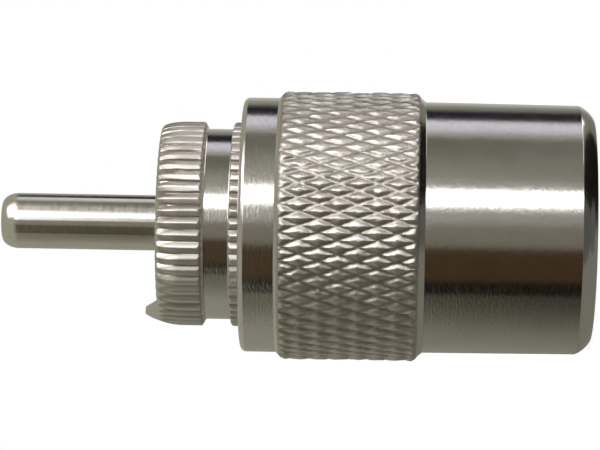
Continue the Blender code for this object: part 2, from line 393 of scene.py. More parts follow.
class Lathe:
    """Collects rings of vertices along a section and skins them."""

    def __init__(self) -> None:
        """Start with no rings."""
        self.points: list[tuple[float, float, float]] = []
        self.rings: list[range] = []
        self.splits: list[Optional[Split]] = []

    def ring(self, count: int, radius: Rule, height: Rule, split: Optional[Split] = None) -> None:
        """Add the next ring of the section.

        Args:
            count: How many vertices it has.
            radius: Its radius, or a function of the angle.
            height: Its height, or a function of the angle.
            split: Says along which diagonal each square after this ring is cut.
        """
        start = len(self.points)
        for number in range(count):
            angle = TURN * number / count
            r = radius(angle) if callable(radius) else radius
            z = height(angle) if callable(height) else height
            self.points.append((r * math.cos(angle) * MM, r * math.sin(angle) * MM, z * MM))
        self.rings.append(range(start, start + count))
        self.splits.append(split)

    def chain(self, count: int, points: Sequence[Point]) -> None:
        """Add a plain ring for each point (radius, height) of a chain."""
        for radius, height in points:
            self.ring(count, radius, height)

    def mesh(self, name: str, closed: bool = True) -> Mesh:
        """Skin what was collected.

        Args:
            name: The mesh's name.
            closed: Whether the last ring is joined to the first, which makes a solid.

        Returns:
            A mesh whose faces point outwards.
        """
        faces: list[Face] = []
        strips = len(self.rings) if closed else len(self.rings) - 1
        for number in range(strips):
            lower = self.rings[number]
            upper = self.rings[(number + 1) % len(self.rings)]
            if len(lower) == len(upper):
                faces += self._squares(lower, upper, self.splits[number])
            else:
                faces += self._fans(lower, upper)
        result = bpy.data.meshes.new(name)
        result.from_pydata(self.points, [], faces)
        result.validate()
        return result

    @staticmethod
    def _squares(lower: range, upper: range, split: Optional[Split]) -> list[Face]:
        """Join two rings that have as many vertices each.

        Args:
            lower: The first ring.
            upper: The ring after it.
            split: Says for each square along which diagonal it is cut.

        Returns:
            The faces.
        """
        faces: list[Face] = []
        count = len(lower)
        for number in range(count):
            after = (number + 1) % count
            a, b, c, d = lower[number], lower[after], upper[after], upper[number]
            if split is None:
                faces.append((a, b, c, d))
            elif split(number):
                faces += [(a, b, c), (a, c, d)]
            else:
                faces += [(a, b, d), (b, c, d)]
        return faces

    @staticmethod
    def _fans(lower: range, upper: range) -> list[Face]:
        """Join two rings, one of which has a whole number of times the other's vertices.

        Args:
            lower: The first ring.
            upper: The ring after it.

        Returns:
            The faces.
        """
        fine, coarse = (lower, upper) if len(lower) > len(upper) else (upper, lower)
        ratio = len(fine) // len(coarse)
        middle = ratio // 2
        faces: list[Face] = []
        for number, near in enumerate(coarse):
            far = coarse[(number + 1) % len(coarse)]
            fan = [fine[(number * ratio + k) % len(fine)] for k in range(ratio + 1)]
            faces += [(fan[k], fan[k + 1], near) for k in range(middle)]
            faces.append((fan[middle], far, near))
            faces += [(fan[k], fan[k + 1], far) for k in range(middle, ratio)]
        return [face[::-1] for face in faces] if fine is upper else faces


def straight_knurl(
    teeth: int, root: float, depth: float, rim: float, inner: float, seed: int
) -> GeometryTree:
    """Make the tree that cuts teeth along the axis into whatever stands out past their root.

    Each tooth leans: one flank climbs fast to a shelf and on to the crest, and the other falls
    evenly. Towards the face the valleys follow the rounded rim and the lug.

    Args:
        teeth: How many teeth there are.
        root: Radius of the valleys.
        depth: Depth of the valleys.
        rim: Height where the rounding of the rim begins.
        inner: Radius of the rim's inner side.
        seed: Seed of the small differences between teeth.

    Returns:
        The tree.
    """
    tree = GeometryTree("straight_knurl", {
        "Teeth": teeth,
        "Root Radius": root * MM,
        "Depth": depth * MM,
        "Rim": rim * MM,
        "Inner Radius": inner * MM,
        "Shelf": 0.6,
        "Shelf Start": 0.12,
        "Crest": 0.55,
        "Edge Round": 0.1,
        "Crest Round": 0.45,
        "Wander": 0.16,
        "Wander Scale": 900.0,
        "Wander Scale Along": 420.0,
        "Unevenness": 0.28,
        "Seed": seed,
    })
    given, x, y, z = tree.given, tree.x, tree.y, tree.z
    around = given("Wander Scale")
    place = tree.vector(x * around, y * around, z * given("Wander Scale Along"))
    wave = tree.noise(place, 1.0) - NOISE_MEAN
    turn = tree.angle * given("Teeth") / TURN + 0.5 + wave * given("Wander")
    valley = turn.math("ROUND").math("FLOORED_MODULO", given("Teeth"))
    share = turn.math("FRACT")
    steep = share * given("Shelf") / given("Shelf Start")
    climb = (1.0 - given("Shelf")) / (given("Crest") - given("Shelf Start"))
    gentle = (share - given("Shelf Start")) * climb + given("Shelf")
    falling = (1.0 - share) / (1.0 - given("Crest"))
    front = steep.math("SMOOTH_MIN", gentle, given("Edge Round"))
    rise = front.math("SMOOTH_MIN", falling, given("Crest Round")).clamp()
    filled = tree.luck(valley) * given("Unevenness")
    cut = given("Root Radius") + given("Depth") * (rise + (1.0 - rise) * filled)
    on_rim = z.step(given("Rim"), given("Rim") + given("Depth"))
    outside = tree.radius.step(given("Inner Radius"), given("Inner Radius") + given("Depth"))
    score = given("Depth") * (1.0 - rise) * on_rim * outside
    stretch = tree.radius.at_most(cut).at_most(tree.radius - score) / tree.radius
    return tree.move(x * stretch, y * stretch, z)


def diamond_knurl(
    columns: int, row_pitch: float, first_row: float, root: float, depth: float, seed: int
) -> GeometryTree:
    """Make the tree that cuts two crossing sets of helical grooves into a band.

    Args:
        columns: Grooves of each set.
        row_pitch: Distance along the axis between rows of crossings.
        first_row: Height of the first row of crossings.
        root: Radius of the groove bottoms.
        depth: Depth of the grooves.
        seed: Seed of the small differences between diamonds.

    Returns:
        The tree.
    """
    tree = GeometryTree("diamond_knurl", {
        "Columns": columns,
        "Row Pitch": row_pitch * MM,
        "First Row": first_row * MM,
        "Row Number Step": 997.0,
        "Root Radius": root * MM,
        "Depth": depth * MM,
        "Tip Flat": 0.36,
        "Groove Round": 0.1,
        "Flank Round": 0.35,
        "Grain": 0.15 * MM,
        "Grain Level": 0.6,
        "Grain Scale": 3600.0,
        "Unevenness": 0.28,
        "Wander": 0.1 * MM,
        "Wander Scale": 420.0,
        "Wander Scale Ratio": 1.3,
        "Seed": seed,
    })
    given, x, y, z = tree.given, tree.x, tree.y, tree.z
    across = tree.angle * given("Columns") / TURN
    along = (z - given("First Row")) / (given("Row Pitch") * 2.0)
    right = across + along
    left = across - along
    sharp = right.off_nearest().at_most(left.off_nearest())
    soft = given("Groove Round")
    crest = 1.0 - given("Tip Flat")
    flat = ((sharp * sharp + soft * soft).math("SQRT") - soft).at_most(crest) / crest
    rise = flat + (flat.step(0.0, 1.0) - flat) * given("Flank Round")
    row = right.math("FLOOR") - left.math("FLOOR")
    both = right.math("FLOOR") + left.math("FLOOR")
    column = both.math("FLOORED_MODULO", given("Columns") * 2.0)
    worn = tree.luck(row * given("Row Number Step") + column) * given("Unevenness")
    cut = given("Root Radius") + given("Depth") * rise * (1.0 - worn)
    on_band = tree.radius.step(given("Root Radius") - given("Depth"), given("Root Radius"))
    grain = tree.noise(tree.grown(tree.place, given("Grain Scale")), 1.0) - given("Grain Level")
    rough = (grain * given("Grain") * on_band).at_most(0.0)
    stretch = (tree.radius.at_most(cut) + rough) / tree.radius

    def drift(scale: Sock) -> Sock:
        """Return how far each vertex wanders, by noise of a scale."""
        wave = tree.noise(tree.grown(tree.place, scale), 1.0) - NOISE_MEAN
        return wave * (given("Wander") * on_band)

    aside = drift(given("Wander Scale")) / tree.radius
    shift = drift(given("Wander Scale") * given("Wander Scale Ratio"))
    return tree.move((x - y * aside) * stretch, (y + x * aside) * stretch, z + shift)


def inner_thread(pitch: float, minor: float, depth: float, start: float, end: float) -> GeometryTree:
    """Make the tree that cuts a right-handed thread into a bore.

    Args:
        pitch: Rise for each turn.
        minor: Radius of the bore before the cut.
        depth: Depth of the thread.
        start: Height where the thread ends inside.
        end: Height of the mouth.

    Returns:
        The tree.
    """
    tree = GeometryTree("inner_thread", {
        "Pitch": pitch * MM,
        "Minor Radius": minor * MM,
        "Depth": depth * MM,
        "Start": start * MM,
        "End": end * MM,
        "Root Share": 0.2,
        "Run In Rate": 3.0,
        "Tolerance": 0.02 * MM,
    })
    given, z = tree.given, tree.z
    turn = z / given("Pitch") - tree.angle / TURN
    groove = ((1.0 - turn.off_nearest()) / (1.0 - given("Root Share"))).clamp()
    run_out = ((z - given("Start")) / given("Pitch")).clamp()
    run_in = ((given("End") - z) / given("Pitch") * given("Run In Rate")).clamp()
    in_bore = abs(tree.radius - given("Minor Radius")).math("LESS_THAN", given("Tolerance"))
    wider = given("Depth") * groove * run_out * run_in * in_bore
    stretch = (tree.radius + wider) / tree.radius
    return tree.move(tree.x * stretch, tree.y * stretch, z)


def drilled_holes(holes: int, height: float, diameter: float, inner: float, outer: float) -> GeometryTree:
    """Make the tree that drills a ring of radial holes, half a step off the X axis.

    Args:
        holes: How many holes there are.
        height: Height of their centres.
        diameter: Their diameter.
        inner: Radius where the drills end.
        outer: Radius where the drills start.

    Returns:
        The tree.
    """
    tree = GeometryTree("drilled_holes", {
        "Holes": holes,
        "Height": height * MM,
        "Hole Radius": diameter / 2 * MM,
        "Hole Sides": 48,
        "Drill Length": (outer - inner) * MM,
        "Reach": (outer + inner) / 2 * MM,
        "Turn": math.pi / holes,
    })
    given = tree.given
    drill = tree.node("GeometryNodeMeshCylinder", inputs={
        "Vertices": given("Hole Sides"), "Radius": given("Hole Radius"), "Depth": given("Drill Length")})
    circle = tree.node("GeometryNodeMeshCircle", inputs={
        "Vertices": given("Holes"), "Radius": given("Reach")})
    drills = tree.node("GeometryNodeInstanceOnPoints", inputs={
        "Points": circle, "Instance": drill, "Rotation": tree.vector(0.0, QUARTER, tree.angle)})
    placed = tree.node("GeometryNodeTransform", inputs={
        "Geometry": drills,
        "Translation": tree.vector(0.0, 0.0, given("Height")),
        "Rotation": tree.vector(0.0, 0.0, given("Turn"))})
    solid = tree.node("GeometryNodeRealizeInstances", inputs=(placed,))
    settings = {"operation": "DIFFERENCE", "solver": "EXACT"}
    return tree.close(tree.node("GeometryNodeMeshBoolean", settings, {0: given("Geometry"), 1: solid}))


class Surface(Graph):
    """The node tree of one material, with what every finish of the plug uses."""

    def __init__(self, name: str, colour: Colour) -> None:
        """Make the material.

        Args:
            name: Its name.
            colour: Its colour in a plain viewport.
        """
        self.material = bpy.data.materials.new(name)
        self.material.use_nodes = True
        self.material.diffuse_color = (*colour, 1.0)
        super().__init__(self.material.node_tree)
        self.tree.nodes.clear()
        self.locate(self.node("ShaderNodeTexCoord", output="Object"))

    def rings(self, width: float, detail: float) -> Sock:
        """Return noise that changes only along the axis, as a lathe tool leaves it."""
        inputs = {"W": self.z / (width * MM), "Scale": 1.0, "Detail": detail}
        return self.node("ShaderNodeTexNoise", {"noise_dimensions": "1D"}, inputs)

    def streaks(self, width: float, length: float, detail: float) -> Sock:
        """Return noise with bumps that have a width along the axis and a length around it."""
        parts = (self.x / (length * MM), self.y / (length * MM), self.z / (width * MM))
        return self.noise(self.vector(*parts), detail)

    def bump(self, height: Sock, strength: float, distance: float) -> Sock:
        """Return the normal of a surface on which a height of 1 rises by a distance."""
        inputs = {"Strength": strength, "Distance": distance * MM, "Height": height}
        return self.node("ShaderNodeBump", inputs=inputs)

    def glow(self, colour: Union[tuple, Sock], strength: float = 1.0) -> Sock:
        """Return a surface that gives light."""
        return self.node("ShaderNodeEmission", inputs={"Color": colour, "Strength": strength})

    def close(self, shader: Sock) -> Material:
        """Put a shader on the surface and return the material."""
        self.node("ShaderNodeOutputMaterial", inputs={"Surface": shader})
        return self.material

    def finish(self, inputs: dict) -> Material:
        """Put a Principled shader with these inputs on the surface and return the material."""
        return self.close(self.node("ShaderNodeBsdfPrincipled", inputs=inputs))


@dataclass(frozen=True)
class TurnedNickel:
    """Nickel plate on turned brass, with the fine rings that the tool left.

    Attributes:
        name: The material's name.
        colour: The plate's colour.
        shade: Its colour in the duller patches and marks, and the painted shade in a knurl's grooves.
        smooth: Roughness of the smoothest rings.
        rough: Roughness of the roughest rings.
        ring_width: Width of the tool's marks.
        ring_depth: Depth of the tool's marks.
        streak: Length around the axis of the short streaks between the rings.
        brushed: How far reflections are drawn out along the axis.
        grooves: Radii of a knurl's tips, its groove bottoms and the plain metal under them, if it
        has a knurl. Painted shade: the grooves turn to the shade colour towards their bottoms.
        pressed: Roughness of the knurl, which is pressed and not turned.
        broken: Share of the streaks in what the marks look like, where the rest is full rings.
        uneven: Their share in the marks' relief.
        cloud: Size of the duller patches.
        cloud_shade: How far a patch goes to the shade.
        mark_shade: How far a mark goes to the shade.
    """

    name: str
    colour: Colour
    shade: Colour
    smooth: float
    rough: float
    ring_width: float
    ring_depth: float
    streak: float = 0.6
    brushed: float = 0.8
    grooves: Optional[tuple[float, float, float]] = None
    pressed: float = 0.3
    broken: float = 0.75
    uneven: float = 0.8
    cloud: float = 2.6
    cloud_shade: float = 0.2
    mark_shade: float = 0.15

    def material(self) -> Material:
        """Make the finish.

        Returns:
            Its material.
        """
        surface = Surface(self.name, self.colour)
        rings = surface.rings(self.ring_width, 3.0)
        streaks = surface.streaks(self.ring_width, self.streak, 2.0)
        clouds = surface.streaks(self.cloud, self.cloud, 3.0).step(0.35, 0.8)
        marks = (streaks * self.broken + rings * (1.0 - self.broken)).step(0.3, 0.72)
        relief = streaks * self.uneven + rings * (1.0 - self.uneven)
        dull_and_painted_groove_shade = clouds * self.cloud_shade + marks * self.mark_shade
        roughness = marks * (self.rough - self.smooth) + self.smooth
        if self.grooves is not None:
            tip, bottom, plain = (radius * MM for radius in self.grooves)
            knurled = surface.radius.step(plain, bottom)
            # Painted shade: a knurl's grooves darken to the shade colour towards their bottoms.
            dull_and_painted_groove_shade = dull_and_painted_groove_shade.at_least(surface.radius.step(tip, bottom) * knurled)
            roughness = roughness.at_least(knurled * self.pressed)
        return surface.finish({
            "Base Color": surface.colours(dull_and_painted_groove_shade, self.colour, self.shade),
            "Metallic": 1.0,
            "Roughness": roughness,
            "Anisotropic": self.brushed,
            "Anisotropic Rotation": 0.25,
            "Normal": surface.bump(relief, 0.5, self.ring_depth),
        })


@dataclass(frozen=True)
class MouldedPlastic:
    """Satin plastic with a faint skin.

    Attributes:
        name: The material's name.
        colour: The plastic's colour.
        shade: Its colour in the clouds.
        roughness: Its mean roughness.
        spread: How far the roughness varies.
        cloud: Size of the clouds.
        grain: Size of the skin's grain.
    """

    name: str
    colour: Colour
    shade: Colour
    roughness: float
    spread: float = 0.16
    cloud: float = 3.2
    grain: float = 0.12

    def material(self) -> Material:
        """Make the finish.

        Returns:
            Its material.
        """
        surface = Surface(self.name, self.colour)
        clouds = surface.streaks(self.cloud, self.cloud, 3.0).step(0.3, 0.75)
        skin = surface.streaks(self.grain, self.grain, 2.0)
        return surface.finish({
            "Base Color": surface.colours(clouds, self.colour, self.shade),
            "Roughness": skin * self.spread + (self.roughness - self.spread / 2),
            "IOR": 1.46,
            "Subsurface Weight": 0.08,
            "Subsurface Radius": (0.001, 0.0008, 0.0006),
            "Normal": surface.bump(skin, 0.25, 0.01),
        })


def show(name: str, data: ID) -> Object:
    """Put a new object into the scene.

    Args:
        name: Its name.
        data: Its mesh, lamp or camera.

    Returns:
        The object.
    """
    made = bpy.data.objects.new(name, data)
    bpy.context.scene.collection.objects.link(made)
    return made


def add_piece(
    name: str, mesh: Mesh, body: Body, slot: Slot, node: str, sharp: float = 32.0
) -> Object:
    """Put a finished mesh into the scene in place of a CAD node.

    Args:
        name: The piece's name.
        mesh: Its mesh, with its material.
        body: The body that it rides on.
        slot: The record's slot that its finish belongs to; not used.
        node: The CAD node that it replaces.
        sharp: The angle in degrees past which an edge stays sharp.

    Returns:
        The piece.
    """
    mesh.name = name
    mesh.shade_smooth()
    mesh.set_sharp_from_angle(angle=math.radians(sharp))
    piece = show(name, mesh)
    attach(piece, body.value)
    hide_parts(node)
    mesh.calc_loop_triangles()
    LOG.info("%s: %d triangles on %s", name, len(mesh.loop_triangles), body.value)
    return piece


@dataclass(frozen=True)
class CouplingNut:
    """The nut: a plain barrel, a band of diamond knurl, a front ring and a threaded bore.

    Attributes:
        length: Length over all.
        barrel_length: Height where the knurl's rear chamfer begins.
        barrel: Radius of the barrel at the knurl.
        barrel_rear: Radius of the barrel at its rear end.
        nose_length: Length of the bulged nose at the rear.
        nose_depth: How far that nose goes in.
        nose_bulge: How far it stands out from a straight cone.
        ring: Radius of the front ring.
        ring_length: Length of the front ring.
        ring_round: Size of the rounding of the front corner.
        tip: Radius of the knurl's tips.
        depth: Depth of the knurl's grooves.
        columns: Grooves of each set of the knurl.
        spacing: Vertices around the nut from one groove to the next.
        bore_spacing: The same in the bore.
        first_row: Height of the first row of crossings.
        last_row: Height of the last row of crossings.
        rows: Steps between those rows.
        band_margin: Height at each end of the knurl that has no ring of its own.
        front_chamfer: Length of the knurl's front chamfer.
        rear_chamfer: Length of the knurl's rear chamfer.
        fillet: Size of the hollow rounding where the barrel meets the knurl.
        minor: Radius of the thread's crests.
        thread_pitch: Rise of one turn.
        thread_rows: Rings in one turn.
        thread_depth: Depth of the thread.
        thread_end: Height where the thread ends inside.
        mouth_chamfer: Size of the chamfer at the mouth.
        web: Radius of the bore through the web.
        web_height: Height of the web's front face.
        web_chamfer: Size of the chamfer at the web's rear end.
        groove: Radius of the groove for the retaining ring.
        groove_rear: Height of that groove's rear side.
        groove_front: Height of that groove's front side.
    """

    length: float = 24.8
    barrel_length: float = 11.95
    barrel: float = 8.93
    barrel_rear: float = 8.85
    nose_length: float = 1.05
    nose_depth: float = 0.93
    nose_bulge: float = 0.12
    ring: float = 9.065
    ring_length: float = 2.5
    ring_round: float = 0.42
    tip: float = 9.575
    depth: float = 0.17
    columns: int = 60
    spacing: int = 12
    bore_spacing: int = 3
    first_row: float = 12.4
    last_row: float = 21.925
    rows: int = 7
    band_margin: float = 0.05
    front_chamfer: float = 0.5
    rear_chamfer: float = 0.6
    fillet: float = 0.06
    minor: float = 7.45
    thread_pitch: float = 1.0583
    thread_rows: int = 7
    thread_depth: float = 0.5
    thread_end: float = 8.7
    mouth_chamfer: float = 0.4
    web: float = 6.65
    web_height: float = 5.7
    web_chamfer: float = 0.2
    groove: float = 7.15
    groove_rear: float = 1.15
    groove_front: float = 2.45

    @property
    def knurl_front(self) -> float:
        """Return the height where the front ring begins."""
        return self.length - self.ring_length

    @property
    def mouth(self) -> float:
        """Return the height where the mouth's chamfer begins."""
        return self.length - self.mouth_chamfer

    @property
    def row_pitch(self) -> float:
        """Return the distance between rows of crossings."""
        return (self.last_row - self.first_row) / self.rows

    def outside(self, lathe: Lathe) -> None:
        """Add the outside, from the rear face to the front face.

        Args:
            lathe: What collects the rings.
        """
        count = self.columns * self.spacing
        start = Vector((self.barrel_rear - self.nose_depth, 0.0))
        chord = Vector((self.nose_depth, self.nose_length))
        outward = Vector((chord.y, -chord.x)).normalized()
        steps = 10
        nose = [Corner(self.web + self.web_chamfer, 0.0)]
        for step in range(steps + 1):
            share = step / steps
            point = start + chord * share + outward * 4 * self.nose_bulge * share * (1 - share)
            nose.append(Corner(point.x, point.y, FINE_EDGE if step in (0, steps) else 0.0))
        chain = rounded(nose + [
            Corner((self.barrel_rear + self.barrel) / 2, self.barrel_length / 2),
            Corner(self.barrel, self.barrel_length - self.fillet, self.fillet, 6),
            Corner(self.barrel + self.fillet, self.barrel_length),
        ])
        lathe.chain(count, chain[1:])
        self._band(lathe, count)
        corner = self.length - self.ring_round
        lathe.chain(count, [
            (self.ring, self.knurl_front),
            (self.ring, self.knurl_front + SUPPORT),
            (self.ring, corner - SUPPORT),
        ] + quarter(self.ring, corner, self.ring_round, self.ring_round, 12))

    def _band(self, lathe: Lathe, count: int) -> None:
        """Add the plain band that the knurl is cut into, with a chamfer at each end.

        Args:
            lathe: What collects the rings.
            count: Vertices of each ring.
        """
        fine = self.row_pitch * 2 / self.spacing
        first = math.ceil((self.barrel_length + self.band_margin - self.first_row) / fine)
        last = math.floor((self.knurl_front - self.band_margin - self.first_row) / fine)
        for row in range(first, last + 1):
            height = self.first_row + row * fine
            up = (height - self.barrel_length) / self.rear_chamfer
            down = (self.knurl_front - height) / self.front_chamfer
            radius = min(
                self.tip,
                self.barrel + up * (self.tip - self.barrel),
                self.ring + down * (self.tip - self.ring))

            def along_right(column: int, row: int = row) -> bool:
                """Return whether a square is nearer to a groove that rises to the right."""
                rising = (column - row) % self.spacing
                falling = (column + row + 1) % self.spacing
                return min(rising, self.spacing - rising) <= min(falling, self.spacing - falling)

            lathe.ring(count, radius, height, along_right if row < last else None)

    def inside(self, lathe: Lathe) -> None:
        """Add the inside, from the mouth back to the rear face.

        Args:
            lathe: What collects the rings.
        """
        count = self.columns * self.bore_spacing
        rim = self.minor + self.mouth_chamfer
        lathe.chain(count, [
            (rim + 0.05, self.length),
            (rim - 0.03, self.length - 0.05),
            (self.minor, self.mouth),
        ])
        rows = math.ceil((self.mouth - self.thread_end) / self.thread_pitch * self.thread_rows)
        for row in range(1, rows + 1):
            lathe.ring(count, self.minor, self.mouth - (self.mouth - self.thread_end) * row / rows)
        relief = self.minor + self.thread_depth
        lathe.chain(count, rounded([
            Corner(self.minor, self.thread_end),
            Corner(relief, self.thread_end, EDGE),
            Corner(relief, self.web_height, 0.25),
            Corner(self.web, self.web_height, EDGE),
            Corner(self.web, self.groove_front, EDGE),
            Corner(self.groove, self.groove_front, FINE_EDGE),
            Corner(self.groove, self.groove_rear, FINE_EDGE),
            Corner(self.web, self.groove_rear, EDGE),
            Corner(self.web, self.web_chamfer, EDGE),
            Corner(self.web + self.web_chamfer, 0.0),
        ])[1:])

    def build(self, finish: TurnedNickel) -> Object:
        """Make the nut.

        Args:
            finish: Its finish.

        Returns:
            The piece.
        """
        lathe = Lathe()
        self.outside(lathe)
        self.inside(lathe)
        material = finish.material()
        root = self.tip - self.depth
        knurl = diamond_knurl(self.columns, self.row_pitch, self.first_row, root, self.depth, 11)
        thread = inner_thread(
            self.thread_pitch, self.minor, self.thread_depth, self.thread_end, self.mouth)
        mesh = thread.run(knurl.run(lathe.mesh("nut_blank"), material), material)
        return add_piece("knurled_nut", mesh, Body.NUT, Slot.NUT, "coupling_nut", 36.0)


@dataclass(frozen=True)
class PlugBody:
    """The turned body: a toothed head with a lug, a neck with solder holes and a stepped bore.

    Attributes:
        length: Height of the head's face.
        neck: Radius of the neck.
        collar: Radius of the collar at the rear end.
        collar_length: Length of that collar.
        jacket: Radius of the rear bore.
        jacket_depth: Depth of the rear bore.
        jacket_chamfer: Size of the chamfer at its mouth.
        braid: Radius of the bore behind the insulator.
        hole: Diameter of the solder holes.
        hole_height: Height of the solder holes.
        holes: How many solder holes there are.
        overrun: How far their drills go past the walls.
        shoulder: Height of the head's rear face.
        land: Radius of the toothed lands.
        teeth: Teeth on each land.
        spacing: Vertices around the body from one tooth to the next.
        bore_spacing: The same in the bore.
        tooth_depth: Depth of the teeth.
        front_land: Height where the front land begins.
        flare: Length of the cone between the groove and the front land.
        rear_land_chamfer: Size of the rounding of the rear land's front corner.
        groove_length: Length of the plain groove.
        groove: Radius of the plain groove.
        round_length: Length of the rounding of the face's corner.
        round_depth: Depth of that rounding.
        lug_height: How far the lug stands up from the face.
        lug_lean: How far it leans inwards.
        lug_width: Its width, in radians.
        lug_azimuth: Its azimuth, in radians.
        lug_blunt: Power of its profile, which is blunter for less.
        lug_start: Share of the corner's rounding that is below the lug.
        pocket: Radius of the pocket for the insulator.
        pocket_floor: Height of the pocket's floor.
    """

    length: float = 30.6
    neck: float = 6.0
    collar: float = 6.5
    collar_length: float = 1.0
    jacket: float = 5.25
    jacket_depth: float = 7.0
    jacket_chamfer: float = 0.2
    braid: float = 4.3
    hole: float = 2.5
    hole_height: float = 10.0
    holes: int = 4
    overrun: float = 1.0
    shoulder: float = 21.5
    land: float = 7.29
    teeth: int = 52
    spacing: int = 16
    bore_spacing: int = 2
    tooth_depth: float = 0.28
    front_land: float = 27.6
    flare: float = 0.3
    rear_land_chamfer: float = 0.5
    groove_length: float = 1.8
    groove: float = 6.785
    round_length: float = 1.6
    round_depth: float = 0.45
    lug_height: float = 1.02
    lug_lean: float = 0.3
    lug_width: float = math.radians(43)
    lug_azimuth: float = math.radians(185)
    lug_blunt: float = 0.95
    lug_start: float = 0.3
    pocket: float = 6.0
    pocket_floor: float = 23.0

    def lug_rise(self, angle: float) -> float:
        """Return how far the lug stands up at an angle, from 0 to 1."""
        offset = (angle - self.lug_azimuth + math.pi) % TURN - math.pi
        return math.cos(min(1.0, abs(offset) / (self.lug_width / 2)) * QUARTER) ** self.lug_blunt

    def outside(self, lathe: Lathe, count: int) -> None:
        """Add the outside, from the cable end to the front land.

        Args:
            lathe: What collects the rings.
            count: Vertices of each ring.
        """
        groove_front = self.front_land - self.flare
        groove_rear = groove_front - self.groove_length
        chain = rounded([
            Corner(self.jacket + self.jacket_chamfer, 0.0),
            Corner(self.collar, 0.0, 0.2, 4),
            Corner(self.collar, self.collar_length, FINE_EDGE),
            Corner(self.neck, self.collar_length, 0.12),
            Corner(self.neck, self.hole_height - self.hole),
            Corner(self.neck, self.hole_height),
            Corner(self.neck, self.hole_height + self.hole),
            Corner(self.neck, self.shoulder, 0.15),
            Corner(self.land, self.shoulder, 0.18, 4),
        ] + [Corner(self.land, self.shoulder + 0.4 * step) for step in range(1, 8)] + [
            Corner(self.land, groove_rear, self.rear_land_chamfer, 6),
            Corner(self.groove, groove_rear, 0.05),
            Corner(self.groove, groove_front, 0.12),
            Corner(self.land, self.front_land, 0.16, 4),
        ] + [Corner(self.land, self.front_land + 0.35 * step) for step in range(1, 4)])
        lathe.chain(count, chain[1:])

    def rim(self, lathe: Lathe, count: int) -> None:
        """Add the rounded rim with its lug, and the start of the pocket.

        Args:
            lathe: What collects the rings.
            count: Vertices of each ring.
        """
        steps = 12
        corner = self.length - self.round_length
        curve = quarter(self.land, corner, self.round_depth, self.round_length, steps)
        for step, (radius, height) in enumerate(curve):
            share = max(0.0, (step / steps - self.lug_start) / (1 - self.lug_start))
            self._rim_ring(lathe, count, radius, height, share)
        upright = 0.02
        self._rim_ring(lathe, count, self.pocket + 0.06, self.length, 1.0, upright)
        self._rim_ring(lathe, count, self.pocket, self.length - 0.05, 0.93, upright)

    def _rim_ring(
        self, lathe: Lathe, count: int, radius: float, height: float, share: float, lean: float = 1.0
    ) -> None:
        """Add a ring that rises where the lug stands.

        Args:
            lathe: What collects the rings.
            count: Vertices of the ring.
            radius: Its radius beside the lug.
            height: Its height beside the lug.
            share: Share of the lug's height that it has.
            lean: Share of the lug's lean that it has.
        """
        def lean_in(angle: float) -> float:
            """Return the ring's radius at an angle."""
            return radius - self.lug_lean * lean * share * self.lug_rise(angle)

        def rise(angle: float) -> float:
            """Return the ring's height at an angle."""
            return height + self.lug_height * share * self.lug_rise(angle)

        lathe.ring(count, lean_in, rise)

    def inside(self, lathe: Lathe, count: int) -> None:
        """Add the inside, from below the rim back to the cable end.

        Args:
            lathe: What collects the rings.
            count: Vertices of each ring.
        """
        lathe.chain(count, rounded([
            Corner(self.pocket, self.length - 0.2),
            Corner(self.pocket, self.pocket_floor, EDGE),
            Corner(self.braid, self.pocket_floor, EDGE),
            Corner(self.braid, self.hole_height + self.hole),
            Corner(self.braid, self.hole_height - self.hole),
            Corner(self.braid, self.jacket_depth, EDGE),
            Corner(self.jacket, self.jacket_depth, EDGE),
            Corner(self.jacket, self.jacket_chamfer, EDGE),
            Corner(self.jacket + self.jacket_chamfer, 0.0),
        ]))

    def build(self, finish: TurnedNickel) -> Object:
        """Make the body.

        Args:
            finish: Its finish.

        Returns:
            The piece.
        """
        lathe = Lathe()
        self.outside(lathe, self.teeth * self.spacing)
        self.rim(lathe, self.teeth * self.spacing)
        self.inside(lathe, self.teeth * self.bore_spacing)
        material = finish.material()
        teeth = straight_knurl(self.teeth, self.land - self.tooth_depth, self.tooth_depth,
                               self.length - self.round_length, self.pocket + 0.1, 5)
        holes = drilled_holes(self.holes, self.hole_height, self.hole,
                              self.braid - self.overrun, self.neck + self.overrun)
        mesh = holes.run(teeth.run(lathe.mesh("body_blank"), material), material)
        return add_piece("turned_body", mesh, Body.PLUG, Slot.BODY, "plug_body")


@dataclass(frozen=True)
class Insulator:
    """The plastic disc in the head.

    Attributes:
        rear: Height of its rear face.
        front: Height of its front face.
        outer: Its radius.
        edge: Size of its front chamfer.
        bore: Radius of the bore for the pin.
        counterbore: Radius of the bore for the pin's collar.
    """

    rear: float = 23.1
    front: float = 29.5
    outer: float = 5.9
    edge: float = 0.3
    bore: float = 2.08
    counterbore: float = 2.7

    def build(self, finish: MouldedPlastic) -> Object:
        """Make the disc.

        Args:
            finish: Its finish.

        Returns:
            The piece.
        """
        middle = (self.rear + self.front) / 2
        lathe = Lathe()
        lathe.chain(SIDES, rounded([
            Corner(self.counterbore, self.rear),
            Corner(self.outer, self.rear, EDGE),
            Corner(self.outer, self.front, self.edge, 5),
            Corner(self.outer - 1.5, self.front),
            Corner(self.bore + 1.2, self.front),
            Corner(self.bore, self.front, 0.12),
            Corner(self.bore, middle, FINE_EDGE),
            Corner(self.counterbore, middle, FINE_EDGE),
            Corner(self.counterbore, self.rear + 0.2),
        ]))
        mesh = lathe.mesh("insulator_disc")
        mesh.materials.append(finish.material())
        return add_piece("insulator_disc", mesh, Body.PLUG, Slot.INSULATOR, "insulator")


